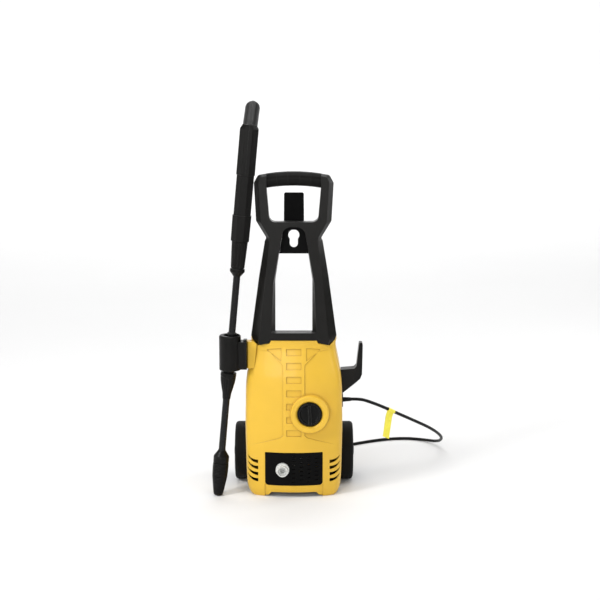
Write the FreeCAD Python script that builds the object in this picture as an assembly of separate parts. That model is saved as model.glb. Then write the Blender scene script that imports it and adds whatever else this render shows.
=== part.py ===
"""Upright electric pressure washer with its spray gun and lance standing in the side holder.

Millimetres, +Z up, +X to the right of someone who faces the front, +Y towards the back. The machine is
laid out about its own centre plane, and everything is moved at the end so that the origin is the middle
of the object's footprint on the floor.
"""
import FreeCAD, Part
import math
import os

from FreeCAD import Placement, Rotation, Vector

X, Y, Z = Vector(1, 0, 0), Vector(0, 1, 0), Vector(0, 0, 1)

# ---- fits and walls -------------------------------------------------------------------------------
RUNNING = 0.06          # radial clearance of a shaft in its bore
GAP = 0.4               # clearance between separate moulded pieces
SEAT = 0.3              # what a carried piece stands off its seat
WALL = 3.2              # casing wall
HANDLE_WALL = 3.0
GUN_WALL = 2.6

# ---- casing ---------------------------------------------------------------------------------------
# height, half width, front and rear of the casing, from the feet up
CASING_LEVELS = [(0, 104, -90, 92), (12, 111, -96, 96), (45, 116.5, -101, 99), (115, 118.5, -104, 100),
                 (190, 119.5, -105, 100), (250, 118.5, -103.5, 99), (310, 114.5, -98.5, 96),
                 (394, 105, -86, 88)]
CASING_TOP = 394.0
TOP_LEVEL_Y, TOP_FALL = -30.0, 23.0     # behind this the top falls away, this far by the back
FRONT_RADIUS = 290.0    # the bow of the front seen from above
CORNER_RADIUS = 24.0
REAR_RADIUS = 28.0
SEAM_Y = -18.0          # front and rear casing meet here
FOOT_HEIGHT = 13.0
FOOT_INNER = 66.0
FOOT_REAR = -52.0
RECESS = 2.1            # depth of the moulded recesses in the front

# ladder of cells down the middle of the front
CELL_TOP, CELL_PITCH, CELL_HEIGHT, CELL_HALF, CELL_COUNT = 373.0, 33.0, 17.0, 18.5, 7

# rotary switch
KNOB_X, KNOB_Z = 38.6, 214.5
KNOB_RADIUS = 29.5
WELL_RADIUS = 31.5
WELL_LIP = 35.0
COLLAR_RADIUS = 47.0
COLLAR_FACE = -110.0
WELL_FLOOR = -97.0
WELL_BACK = -92.0
SHAFT_RADIUS = 4.0

# lower panel and water inlet
PANEL_HALF, PANEL_LOW, PANEL_HIGH, PANEL_CORNER = 71.0, 31.0, 117.0, 9.0
PANEL_DEPTH = 2.0       # how far the panel lies behind the casing's front
INLET_X, INLET_Z = -28.0, 74.0
INLET_FLANGE = 16.5
INLET_THREAD = 13.2     # outside radius of a 3/4 inch hose thread
INLET_BORE = 11.0
INLET_FACE = -122.0

# side vents
VENT_TOP, VENT_PITCH, VENT_COUNT = 105.0, 16.0, 4

# ---- wheels ---------------------------------------------------------------------------------------
WHEEL_RADIUS, WHEEL_Y = 74.0, 68.0
WHEEL_INNER, WHEEL_OUTER = 118.0, 150.0
RIM_RADIUS = 60.0
AXLE_RADIUS = 6.0
AXLE_HALF = 150.0
AXLE_INNER = 80.0
WELL_INSIDE = 112.0     # inner face of the wheel wells in the casing
WELL_CLEAR = 6.0

# ---- handle ---------------------------------------------------------------------------------------
HANDLE_DEPTH = 44.0
HANDLE_CHAMFER = 15.0   # depth of the slanted side faces
HANDLE_FRONT, HANDLE_PIVOT_Z, HANDLE_LEAN = -80.0, 380.0, 2.6
HANDLE_TOP = 802.0
HANDLE_FULL = [(0, HANDLE_TOP), (50, HANDLE_TOP - 3), (86, 793), (96, 775), (91, 683), (66, 642), (70, 635), (84, 550), (104, 404),
               (100, 393), (87, 380), (59, 386), (56, 393)]
HANDLE_FACE = [(0, HANDLE_TOP - 4), (47, HANDLE_TOP - 6.6), (80, 788), (85, 777), (79, 679), (59, 644), (58, 635), (68, 550), (83, 408),
               (86, 394), (84, 382), (62, 387), (56, 393)]
HANDLE_ROUND = [0, 60, 9, 9, 10, 6, 6, 60, 3, 3, 3, 3, 1.5]
GRIP_OPENING = [(66, HANDLE_TOP + 20), (65.5, 764), (58.5, 681)]
GRIP_RADIUS = 17.3
GRIP_ARCH = 411.0       # radius of the arched top bar
GRIP_HALF = 66.0
LOWER_FULL = [(25, 669), (45, 540), (45, 411)]
LOWER_FACE = [(25, 669), (50, 530), (56, 411)]
KEYHOLE_Z, KEYHOLE_RADIUS, KEYHOLE_SLOT, KEYHOLE_END = 648.0, 13.4, 9.8, 628.0
KEYHOLE_PLATE_LOW = 603.0
PLATE_DEPTH, PLATE_THICK = 24.0, 5.0

# hose hook behind the handle
HOOK_HALF, HOOK_THICK = 25.5, 6.0
HOOK_LOW, HOOK_TOP, HOOK_REACH = 661.0, 746.0, 117.0

# ---- lance holder, gun and lance ------------------------------------------------------------------
LANCE_Y = -75.0
TIP_X, TIP_Z = -188.2, 1.6
LANCE_LEAN = 5.3        # degrees from upright, the top towards the machine
HOLDER_X, HOLDER_RADIUS, HOLDER_LOW, HOLDER_HIGH = -155.3, 26.5, 320.0, 406.0
HOLDER_BORE = 20.1
GUIDE_RADIUS = HOLDER_BORE - SEAT
BRACKET_X = -114.5      # the casing's pad, where the bracket is screwed on
HOLDER_SCREWS = ((20.0, 340.0), (20.0, 378.0))
PAD_LOW, PAD_HIGH = 324.0, 389.0
TUBE_RADIUS, TUBE_BORE = 8.5, 4.5

# ---- cord hook ------------------------------------------------------------------------------------
CORD_HOOK = [(116.5, 305), (150, 308), (155.5, 314), (161.2, 366), (162.2, 372.5), (169.8, 372.5), (171, 366),
             (169.5, 292), (165, 281), (123, 247), (116.5, 247)]
CORD_HOOK_HALF = 16.0

# ---- mains cord -----------------------------------------------------------------------------------
CORD_RADIUS = 4.0
CORD_EXIT = Vector(118.5, 0, 225)
RELIEF_LENGTH = 24.0
COIL_X, COIL_Y, COIL_MID, COIL_TURNS_WIDE, COIL_HEIGHT = 0.0, 215.0, 46.0, 4, 32.0
CORD_ROUTE = [Vector(142.5, 5, 224.5), Vector(166.5, 10, 224), Vector(192, 24, 212.5), Vector(224, 45, 195),
              Vector(272, 88, 163), Vector(318, 132, 132), Vector(360, 180, 101), Vector(391, 236, 68),
              Vector(406, 296, 37), Vector(399, 350, 13), Vector(370, 394, 4.6), Vector(322, 413, 4.2),
              Vector(268, 407, 4.2), Vector(216, 385, 4.2), Vector(166, 356, 4.2), Vector(115, 321, 4.2),
              Vector(62, 292, 4.2), Vector(9, 273.5, 4.2)]
PLUG_Y = COIL_Y - 44
TAG_RUN = 3             # the run of the route that the tag hangs from
TAG_WIDTH, TAG_LENGTH, TAG_THICK = 25.0, 72.0, 0.6
TAG_LOOSE = 0.3         # room between the cord and the tag's loop

# ---- motor and pump -------------------------------------------------------------------------------
MOTOR_X, MOTOR_Y = 0.0, 25.0
MOTOR_RADIUS, MOTOR_LOW, MOTOR_HIGH = 50.0, 186.0, 310.0
ROTOR_RADIUS, ROTOR_SHAFT = 27.0, 6.0
HEAD_RADIUS, HEAD_LOW, HEAD_HIGH = 48.0, 60.0, 112.0
PUMP_RADIUS = 54.0
PISTON_RADIUS, PISTON_CIRCLE, PISTON_COUNT = 7.0, 26.0, 3
PISTON_TOP = 144.0
OUTLET_AT = Vector(28, 100, 74)
OUTLET_HOLE, OUTLET_THREAD = 14.0, 11.0
RELIEF_HOLE = 7.5
SCREW_X, SCREW_LEVELS, SCREW_RADIUS, BOSS_RADIUS = 94.0, (175.0, 300.0), 2.2, 6.5


# ---- plain solids ---------------------------------------------------------------------------------
def block(x0, x1, y0, y1, z0, z1):
    return Part.makeBox(x1 - x0, y1 - y0, z1 - z0, Vector(x0, y0, z0))


def rod(radius, start, axis, length):
    return Part.makeCylinder(radius, length, start, axis)


def ring(outer, inner, start, axis, length):
    return rod(outer, start, axis, length).cut(rod(inner, start - axis, axis, length + 2))


def turned(profile, base, axis):
    """A closed outline of (radius, distance along the axis), turned about the axis."""
    corners = [Vector(r, 0, s) for r, s in profile]
    face = Part.Face(Part.makePolygon(corners + corners[:1]))
    solid = face.revolve(Vector(0, 0, 0), Z, 360)
    solid.Placement = Placement(base, Rotation(Z, axis))
    return solid


def joined(shapes):
    return shapes[0].multiFuse(shapes[1:]).removeSplitter()


def unit(v):
    return v * (1.0 / v.Length)


def corner(before, at, after, radius):
    """Start, middle and end of the arc of that radius that rounds a corner."""
    a, b = unit(before - at), unit(after - at)
    half = a.getAngle(b) / 2
    reach = radius / math.tan(half)
    middle = at + unit(a + b) * (radius / math.sin(half) - radius)
    return at + a * reach, middle, at + b * reach


def rounded_wire(points, radii):
    """A closed outline whose corners are arcs; a radius of 0 leaves the corner sharp."""
    stops = []
    for i, p in enumerate(points):
        if radii[i] > 0:
            stops.append(corner(points[i - 1], p, points[(i + 1) % len(points)], radii[i]))
        else:
            stops.append((p, None, p))
    edges = []
    for i, (start, middle, end) in enumerate(stops):
        if middle is not None:
            edges.append(Part.Arc(start, middle, end).toShape())
        following = stops[(i + 1) % len(stops)][0]
        edges.append(Part.LineSegment(end, following).toShape())
    return Part.Wire(edges)


def front_wire(points, y, radii=None):
    """A closed outline of (x, z) points at one y."""
    corners = [Vector(x, y, z) for x, z in points]
    return rounded_wire(corners, radii or [0] * len(corners))


def front_prism(points, y0, y1, radii=None):
    return Part.Face(front_wire(points, y0, radii)).extrude(Vector(0, y1 - y0, 0))


def side_prism(points, x0, x1, radii=None):
    corners = [Vector(x0, y, z) for y, z in points]
    wire = rounded_wire(corners, radii or [0] * len(corners))
    return Part.Face(wire).extrude(Vector(x1 - x0, 0, 0))


def mirrored(points):
    """The right half of an outline, from the top down, and its mirror image back up."""
    left = [(-x, z) for x, z in reversed(points) if x > 0]
    return points + left


def mirrored_radii(points, radii):
    left = [r for (x, _), r in zip(reversed(points), reversed(radii)) if x > 0]
    return list(radii) + left


def moved_in(points, distance):
    """A closed outline of (x, z) with every side moved inwards, or outwards if distance is negative."""
    count = len(points)
    area = sum(points[i - 1][0] * points[i][1] - points[i][0] * points[i - 1][1] for i in range(count))
    turn = 1 if area > 0 else -1
    sides = []
    for i in range(count):
        (x0, z0), (x1, z1) = points[i], points[(i + 1) % count]
        long = math.hypot(x1 - x0, z1 - z0)
        nx, nz = -(z1 - z0) / long * turn, (x1 - x0) / long * turn
        sides.append((x0 + nx * distance, z0 + nz * distance, (x1 - x0) / long, (z1 - z0) / long))
    result = []
    for i in range(count):
        ax, az, adx, adz = sides[i - 1]
        bx, bz, bdx, bdz = sides[i]
        cross = adx * bdz - adz * bdx
        if abs(cross) < 1e-6:
            result.append((bx, bz))
        else:
            t = ((bx - ax) * bdz - (bz - az) * bdx) / cross
            result.append((ax + adx * t, az + adz * t))
    return result


def mirror_x(shape):
    return shape.mirror(Vector(0, 0, 0), X)


# ---- casing ---------------------------------------------------------------------------------------
def casing_outline(level, inset, dip):
    """The casing's section at one height, every wall moved in by inset, the front's middle also by dip."""
    z, half, front, rear = level
    half, front, rear = half - inset, front + inset, rear - inset
    corner_radius, rear_radius = CORNER_RADIUS - inset, REAR_RADIUS - inset
    bow = FRONT_RADIUS - inset
    bow_y = front + bow
    across = half - corner_radius
    corner_y = bow_y - math.sqrt((bow - corner_radius) ** 2 - across ** 2)
    grown = bow / (bow - corner_radius)
    start_x, start_y = across * grown, bow_y + (corner_y - bow_y) * grown
    lean = math.atan2(across, bow_y - corner_y)
    middle = (math.pi / 2 + lean) / 2
    mid_x, mid_y = across + corner_radius * math.sin(middle), corner_y - corner_radius * math.cos(middle)
    rear_mid = rear_radius * (1 - math.sqrt(0.5))
    side_end = rear - rear_radius

    def at(x, y):
        return Vector(x, y, z)

    return Part.Wire([
        Part.Arc(at(-start_x, start_y), at(0, front + dip), at(start_x, start_y)).toShape(),
        Part.Arc(at(start_x, start_y), at(mid_x, mid_y), at(half, corner_y)).toShape(),
        Part.LineSegment(at(half, corner_y), at(half, side_end)).toShape(),
        Part.Arc(at(half, side_end), at(half - rear_mid, rear - rear_mid),
                 at(half - rear_radius, rear)).toShape(),
        Part.LineSegment(at(half - rear_radius, rear), at(rear_radius - half, rear)).toShape(),
        Part.Arc(at(rear_radius - half, rear), at(rear_mid - half, rear - rear_mid),
                 at(-half, side_end)).toShape(),
        Part.LineSegment(at(-half, side_end), at(-half, corner_y)).toShape(),
        Part.Arc(at(-half, corner_y), at(-mid_x, mid_y), at(-start_x, start_y)).toShape()])


def casing_form(inset=0.0, dip=0.0):
    levels = [casing_outline(level, inset, dip) for level in CASING_LEVELS]
    return Part.makeLoft(levels, True, False)


def wheel_wells(grow):
    radius = WHEEL_RADIUS + WELL_CLEAR + grow
    inside = WELL_INSIDE - grow
    right = rod(radius, Vector(inside, WHEEL_Y, WHEEL_RADIUS), X, 30)
    return right.fuse(mirror_x(right))


def handle_placed(shape):
    """Leans a shape of the handle, drawn upright from its front face back, into its place."""
    shape.translate(Vector(0, HANDLE_FRONT, 0))
    shape.rotate(Vector(0, HANDLE_FRONT, HANDLE_PIVOT_Z), X, -HANDLE_LEAN)
    return shape


def handle_pocket(grow):
    """The space that the handle's foot takes out of the casing's top."""
    outline = moved_in(mirrored(HANDLE_FULL), -GAP - grow)
    return handle_placed(front_prism(outline, -60, HANDLE_DEPTH + GAP + grow))


def top_slope(drop):
    """What is taken off the casing's top where it falls away towards the back, moved down by drop."""
    high, low = CASING_TOP - drop, CASING_TOP - TOP_FALL - drop
    return side_prism([(TOP_LEVEL_Y, high), (105, low), (105, 440), (TOP_LEVEL_Y, 440)], -200, 200)


def casing_shell():
    outer = casing_form().cut([wheel_wells(0), handle_pocket(0), top_slope(0)])
    inside = casing_form(WALL).common(block(-200, 200, -200, 200, -5, CASING_TOP - WALL))
    inside = inside.cut([wheel_wells(WALL), handle_pocket(WALL), top_slope(WALL)])
    return outer.cut(inside)


def holder_pad():
    """The raised pad that fills out the front's left corner, where the lance holder is screwed on."""
    rear = LANCE_Y + 25
    low = [(BRACKET_X, -78), (BRACKET_X + 3, -82), (-97, -79), (-97, rear), (BRACKET_X, rear)]
    high = [(BRACKET_X, -71), (BRACKET_X + 3, -75), (-89.5, -72), (-89.5, rear), (BRACKET_X, rear)]
    wires = []
    for z, plan in ((PAD_LOW, low), (PAD_HIGH, high)):
        corners = [Vector(x, y, z) for x, y in plan]
        wires.append(Part.makePolygon(corners + corners[:1]))
    pad = Part.makeLoft(wires, True, True)
    inside = casing_form(WALL).common(block(-200, 200, -200, 200, -5, CASING_TOP - WALL))
    return pad.cut([handle_pocket(0), inside])


def front_recesses():
    """The moulded pattern of the front: the ladder of cells, two broad side panels and two corner panels."""
    cells = []
    for i in range(CELL_COUNT):
        top = CELL_TOP - CELL_PITCH * i
        outline = [(-CELL_HALF, top), (CELL_HALF, top), (CELL_HALF, top - CELL_HEIGHT),
                   (-CELL_HALF, top - CELL_HEIGHT)]
        cells.append(front_prism(outline, -130, -60, [1.5] * 4))
    side = [(26, 160), (26, 334), (60, 366), (116, 372), (116, 128), (103, 133), (33, 154)]
    top = [(30, 375), (68, 371), (30, 342)]
    sunk = casing_form(RECESS)
    dipped = casing_form(0.06, RECESS)
    corner_panel = front_prism(top, -130, -60, [2, 2, 2]).cut(sunk)
    side_panel = front_prism(side, -130, -40, [5, 6, 4, 2, 2, 2, 5]).cut(dipped)
    between_feet = FOOT_INNER + 6
    plinth = front_prism([(-between_feet, -5), (between_feet, -5), (between_feet, PANEL_LOW + 3),
                          (-between_feet, PANEL_LOW + 3)], -130, -60).cut(casing_form(RECESS * 0.7))
    return [plinth, joined(cells).cut(sunk), corner_panel, mirror_x(corner_panel), side_panel, mirror_x(side_panel)]


def vent_slots():
    """Four crescent slots on each front corner, falling towards the middle."""
    slots = []
    for i in range(VENT_COUNT):
        z = VENT_TOP - VENT_PITCH * i
        outer, top, low = Vector(114, -130, z + 1), Vector(88, -130, z - 9.5), Vector(88, -130, z - 18.5)
        upper = Part.Arc(outer, Vector(100, -130, z - 8.5), top).toShape()
        lower = Part.Arc(low, Vector(101, -130, z - 15), outer).toShape()
        face = Part.Face(Part.Wire([upper, Part.LineSegment(top, low).toShape(), lower]))
        slots.append(face.extrude(Vector(0, 90, 0)))
    return slots + [mirror_x(s) for s in slots]


def knob_collar():
    """The raised ring round the switch knob, with the well that the knob turns in."""
    at = Vector(KNOB_X, 0, KNOB_Z)
    profile = [(0, COLLAR_FACE), (COLLAR_RADIUS - 3, COLLAR_FACE), (COLLAR_RADIUS - 0.9, COLLAR_FACE + 0.9),
               (COLLAR_RADIUS, COLLAR_FACE + 3), (COLLAR_RADIUS + 2, WELL_BACK), (0, WELL_BACK)]
    solid = turned([(r, s) for r, s in profile], at, Y)
    hollow = [(WELL_RADIUS + WALL, WELL_FLOOR + 0.5), (COLLAR_RADIUS - 1, WELL_FLOOR + 0.5),
              (COLLAR_RADIUS - 1, -90), (WELL_RADIUS + WALL, -90)]
    well = [(0, COLLAR_FACE - 5), (WELL_LIP + 5, COLLAR_FACE - 5), (WELL_LIP, COLLAR_FACE),
            (WELL_RADIUS, COLLAR_FACE + 3.5), (WELL_RADIUS, WELL_FLOOR), (0, WELL_FLOOR)]
    return solid, turned(hollow, at, Y), turned(well, at, Y)


def casings():
    shell = casing_shell()
    front = shell.common(block(-200, 200, -200, SEAM_Y, -5, 420))
    rear = shell.common(block(-200, 200, SEAM_Y, 200, FOOT_HEIGHT, 420))
    arch = [(FOOT_INNER + 6, -5), (FOOT_INNER + 5, 3), (FOOT_INNER - 4, 4.5), (FOOT_INNER - 11, FOOT_HEIGHT)]
    arch = front_prism(arch + [(-x, z) for x, z in reversed(arch)], -130, SEAM_Y + 1)
    behind_feet = block(-200, 200, FOOT_REAR, SEAM_Y + 1, -5, FOOT_HEIGHT)
    panel = front_prism(panel_outline(0), -130, -60, panel_radii())
    collar, hollow, well = knob_collar()
    shaft_hole = rod(SHAFT_RADIUS + 3, Vector(KNOB_X, -130, KNOB_Z), Y, 60)
    for recess in front_recesses():
        front = front.cut(recess)
    front = front.fuse(holder_pad()).cut(vent_slots() + [arch, behind_feet, panel])
    front = front.fuse(collar).cut([hollow, well, shaft_hole])
    floor = casing_form(0.5).common(block(-200, 200, -200, FOOT_REAR, 0, WALL)).cut(arch)
    front_bosses, rear_bosses, screw_holes = casing_bosses()
    pad_holes = [rod(2.3, Vector(BRACKET_X - 1, LANCE_Y + dy, z), X, 12) for dy, z in HOLDER_SCREWS]
    front = front.fuse([floor] + front_bosses).cut(screw_holes + pad_holes).removeSplitter()
    holes = [rod(9.3, Vector(-200, WHEEL_Y, WHEEL_RADIUS), X, 400),
             rod(RELIEF_HOLE, CORD_EXIT - X * 20, X, 40), rod(OUTLET_HOLE, OUTLET_AT - Y * 20, Y, 40)]
    rear = rear.fuse(rear_bosses).cut(holes + rear_vents() + screw_holes)
    return {"front_casing": front, "rear_casing": rear.removeSplitter()}


def casing_bosses():
    """Screw bosses in both halves, and the stepped holes through them."""
    fronts, rears, holes = [], [], []
    room = casing_form(1.5)
    for x in (-SCREW_X, SCREW_X):
        for z in SCREW_LEVELS:
            post = rod(BOSS_RADIUS, Vector(x, -110, z), Y, 240).common(room)
            fronts.append(post.common(block(-200, 200, -200, SEAM_Y, 0, 420)))
            rears.append(post.common(block(-200, 200, SEAM_Y, 200, 0, 420)))
            holes.append(rod(SCREW_RADIUS + 0.1, Vector(x, SEAM_Y - 14, z), Y, 30))
            holes.append(rod(4.3, Vector(x, SEAM_Y + 4, z), Y, 150))
    return fronts, rears, holes


def screws():
    every = holder_screws()
    for x in (-SCREW_X, SCREW_X):
        for z in SCREW_LEVELS:
            y = SEAM_Y + 4
            every.append(turned([(0, y - 17), (SCREW_RADIUS, y - 17), (SCREW_RADIUS, y), (4, y), (4, y + 2.5),
                                 (0, y + 2.5)], Vector(x, 0, z), Y))
    return Part.Compound(every)


def rear_vents():
    """Cooling slots low in the back of the rear casing."""
    slots = []
    for i in range(7):
        z = 150 + 14 * i
        outline = [(-62, z), (62, z), (62, z + 5), (-62, z + 5)]
        slots.append(front_prism(outline, 60, 130, [2.4] * 4))
    return slots


def panel_outline(gap):
    half, low, high = PANEL_HALF - gap, PANEL_LOW + gap, PANEL_HIGH - gap
    return [(-half, high), (half, high), (half, low), (-half, low)]


def panel_radii():
    return [2, 2, PANEL_CORNER, PANEL_CORNER]


def lower_panel():
    """The black grille in the front, following the casing's bow, with staggered short slots."""
    skin = casing_form(PANEL_DEPTH).cut(casing_form(PANEL_DEPTH + WALL))
    plate = skin.common(front_prism(panel_outline(GAP), -130, -60, panel_radii()))
    lip = casing_form(WALL + 0.1).cut(casing_form(WALL + 2))
    edge = front_prism([(-PANEL_HALF - 6, PANEL_HIGH + 6), (PANEL_HALF + 6, PANEL_HIGH + 6),
                        (PANEL_HALF + 6, PANEL_LOW - 6), (-PANEL_HALF - 6, PANEL_LOW - 6)], -130, -60)
    plate = plate.fuse(lip.common(edge)).removeSplitter()
    slots = []
    for column, x in enumerate((-1, 18, 37, 56)):
        for row in range(6 if column % 2 else 7):
            z = 40 + 11 * row + 5.5 * (column % 2)
            slots.append(front_prism([(x - 4, z), (x + 4, z), (x + 4, z + 1.5), (x - 4, z + 1.5)], -130, -60))
    slots.append(rod(INLET_FLANGE - 3, Vector(INLET_X, -130, INLET_Z), Y, 60))
    return plate.cut(slots)


# ---- base, axle and wheels ------------------------------------------------------------------------
def base_tray():
    """Tray across the bottom with two cheeks that carry the axle and posts under the pump."""
    low = FOOT_HEIGHT + 1
    plate = casing_form(WALL + GAP).common(block(-150, 150, FOOT_REAR + 2, 150, low, low + 5))
    plate = plate.cut(wheel_wells(WALL + GAP))
    y = WHEEL_Y
    cheek = side_prism([(y - 30, low), (y + 24, low), (y + 18, 96), (y - 18, 96)], 84, 92, [0, 0, 12, 12])
    post = rod(8, Vector(MOTOR_X, MOTOR_Y - 36, low), Z, HEAD_LOW - low)
    posts = [post, post.copy()]
    posts[1].translate(Vector(0, 72, 0))
    solid = joined([plate, cheek, mirror_x(cheek)] + posts)
    return solid.cut(rod(AXLE_RADIUS, Vector(-200, WHEEL_Y, WHEEL_RADIUS), X, 400))


def wheels():
    """Right-hand wheel pieces from the inside out, and their mirror images."""
    at = Vector(0, WHEEL_Y, WHEEL_RADIUS)
    tread = WHEEL_RADIUS
    inner, outer = WHEEL_INNER, WHEEL_OUTER
    tyre = turned([(RIM_RADIUS, inner + 2), (tread - 4, inner), (tread, inner + 4), (tread, outer - 7),
                   (tread - 2.2, outer - 2.2), (tread - 7, outer), (RIM_RADIUS, outer - 3)], at, X)
    hub = turned([(AXLE_RADIUS + RUNNING, inner - 1), (15, inner - 1), (15, inner + 10),
                  (RIM_RADIUS - 6, inner + 10),
                  (RIM_RADIUS - 4, inner + 3), (RIM_RADIUS, inner + 3), (RIM_RADIUS, outer - 4),
                  (RIM_RADIUS - 4, outer - 3), (RIM_RADIUS - 8, outer - 9), (25, outer - 5), (25, outer - 3),
                  (AXLE_RADIUS + RUNNING, outer - 3)], at, X)
    windows = []
    for i in range(6):
        angle = math.radians(60 * i + 30)
        centre = at + Vector(0, math.cos(angle), math.sin(angle)) * 39
        windows.append(rod(8.5, centre + X * (inner - 5), X, 60))
    hub = hub.cut(windows)
    cap = turned([(0, outer + 4), (10, outer + 3.4), (20, outer + 1), (25, outer - 2.8), (22.5, outer - 2.8),
                  (18.5, outer - 0.6), (13, outer + 0.6), (13, outer + 1.4), (0, outer + 1.4)], at, X)
    return {"tyre": tyre, "wheel_hub": hub, "wheel_cap": cap}


def axle_pieces():
    axle = rod(AXLE_RADIUS, Vector(AXLE_INNER, WHEEL_Y, WHEEL_RADIUS), X, AXLE_HALF - AXLE_INNER)
    axle = axle.fuse(rod(9, Vector(92, WHEEL_Y, WHEEL_RADIUS), X, WHEEL_INNER - 1 - SEAT - 92)).removeSplitter()
    start = WHEEL_OUTER - 3 + SEAT
    washer = ring(10.5, AXLE_RADIUS, Vector(start, WHEEL_Y, WHEEL_RADIUS), X, 1.5)
    return {"stub_axles": Part.Compound([axle, mirror_x(axle)]),
            "axle_washers": Part.Compound([washer, mirror_x(washer)])}


# ---- handle ---------------------------------------------------------------------------------------
def handle_body(inset):
    """The handle drawn upright from its front face back, every wall moved in by inset."""
    full, face = (moved_in(mirrored(p), inset) for p in (HANDLE_FULL, HANDLE_FACE))
    radii = mirrored_radii(HANDLE_FULL, HANDLE_ROUND)
    front, rear = inset, HANDLE_DEPTH - inset
    near, far = HANDLE_CHAMFER, HANDLE_DEPTH - HANDLE_CHAMFER
    sides = [Part.makeLoft([front_wire(face, front, radii), front_wire(full, near, radii)], True, True),
             Part.makeLoft([front_wire(full, near, radii), front_wire(full, far, radii)], True, True),
             Part.makeLoft([front_wire(full, far, radii), front_wire(face, rear, radii)], True, True)]
    return joined(sides)


def whole(points):
    """The closed outline of a right-hand half that runs from the top down."""
    return [(-x, z) for x, z in reversed(points)] + points


def handle_openings(inset):
    """What is cut through the handle: the hand opening and the tall opening between the legs."""
    grip = moved_in(whole(GRIP_OPENING), -inset)
    full, face = (moved_in(whole(p), -inset) for p in (LOWER_FULL, LOWER_FACE))
    radii = [5, 60, 22, 22, 60, 5]
    depths = (-1.0, HANDLE_CHAMFER, HANDLE_DEPTH - HANDLE_CHAMFER, HANDLE_DEPTH + 1.0)
    wires = [front_wire(p, y, radii) for p, y in zip((face, full, full, face), depths)]
    lower = [Part.makeLoft([a, b], True, True) for a, b in zip(wires, wires[1:])]
    return [front_prism(grip, -1, HANDLE_DEPTH + 1, [15, 0, 0, 0, 0, 15])] + lower


def grip_bar(radius, half):
    """A round bar along the arch of the handle's top, as far as half each side of the middle."""
    middle = HANDLE_DEPTH / 2
    centre = Vector(0, middle, HANDLE_TOP - GRIP_RADIUS - GRIP_ARCH)
    sweep = 2 * math.degrees(math.asin(half / GRIP_ARCH))
    disc = Part.Face(Part.Wire(Part.makeCircle(radius, centre + Z * GRIP_ARCH, X)))
    disc.rotate(centre, Y, -sweep / 2)
    return disc.revolve(centre, Y, sweep)


def handle():
    body = handle_body(0).cut(handle_openings(0))
    hollow = handle_body(HANDLE_WALL).cut(handle_openings(HANDLE_WALL))
    core_radius = GRIP_RADIUS - 4.5
    core = grip_bar(core_radius, GRIP_HALF + 14)
    passage = grip_bar(core_radius + 0.1, GRIP_HALF + 15)
    shell = body.cut([hollow, passage])
    middle = HANDLE_DEPTH / 2
    front = shell.common(block(-200, 200, -5, middle, 300, 900))
    rear = shell.common(block(-200, 200, middle, 100, 300, 900))
    between = block(-GRIP_HALF, GRIP_HALF, -50, 100, 700, 900)
    grip = grip_bar(GRIP_RADIUS, GRIP_HALF + 10).common(between).cut(body)
    ridges = []
    for x in (-41, -14, 14, 41):
        angle = math.degrees(math.asin(x / GRIP_ARCH))
        start = Vector(-0.9, middle, HANDLE_TOP - GRIP_RADIUS)
        ridge = rod(GRIP_RADIUS + 0.4, start, X, 1.8)
        ridge.rotate(Vector(0, middle, HANDLE_TOP - GRIP_RADIUS - GRIP_ARCH), Y, angle)
        ridges.append(ridge)
    grip = grip.fuse(ridges + [core])
    return {"handle_front": handle_placed(front), "handle_rear": handle_placed(rear),
            "handle_grip": handle_placed(grip)}


def keyhole_plate():
    """Plate between the tops of the legs with a keyhole for hanging the machine or parking the nozzle."""
    (top_x, top_z), (low_x, low_z) = LOWER_FULL[0], LOWER_FULL[1]
    share = (top_z - KEYHOLE_PLATE_LOW) / (top_z - low_z)
    outline = moved_in(whole([(top_x, top_z), (top_x + (low_x - top_x) * share, KEYHOLE_PLATE_LOW)]), 0.1)
    y0, y1 = PLATE_DEPTH, PLATE_DEPTH + PLATE_THICK
    plate = front_prism(outline, y0, y1, [0, 22, 22, 0])
    hole = rod(KEYHOLE_RADIUS, Vector(0, y0 - 1, KEYHOLE_Z), Y, PLATE_THICK + 2)
    slot = block(-KEYHOLE_SLOT, KEYHOLE_SLOT, y0 - 1, y1 + 1, KEYHOLE_END, KEYHOLE_Z)
    end = rod(KEYHOLE_SLOT, Vector(0, y0 - 1, KEYHOLE_END), Y, PLATE_THICK + 2)
    return handle_placed(plate.cut([hole, slot, end]))


def hose_hook():
    """Shelf and upright plate behind the handle, for winding the hose on."""
    rear, low, reach = HANDLE_DEPTH, HOOK_LOW, HOOK_REACH
    profile = [(rear, low - 2), (rear + 4, low - 2), (rear + 12, low), (reach, low), (reach, HOOK_TOP),
               (reach - HOOK_THICK, HOOK_TOP), (reach - HOOK_THICK, low + HOOK_THICK),
               (rear + 12, low + HOOK_THICK), (rear + 4, low + 18), (rear, low + 18)]
    hook = side_prism(profile, -HOOK_HALF, HOOK_HALF, [0, 2, 4, 9, 2, 2, 6, 6, 2, 0])
    width = [(-HOOK_HALF, low - 40), (-HOOK_HALF + 1, HOOK_TOP), (HOOK_HALF - 1, HOOK_TOP), (HOOK_HALF, low - 40)]
    return handle_placed(hook.common(front_prism(width, rear - 5, reach + 5, [0, 5, 5, 0])))


# ---- lance holder and cord hook -------------------------------------------------------------------
def lance_axis():
    """Direction of the lance, from its nozzle up."""
    lean = math.radians(LANCE_LEAN)
    return Vector(math.sin(lean), 0, math.cos(lean))


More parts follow.
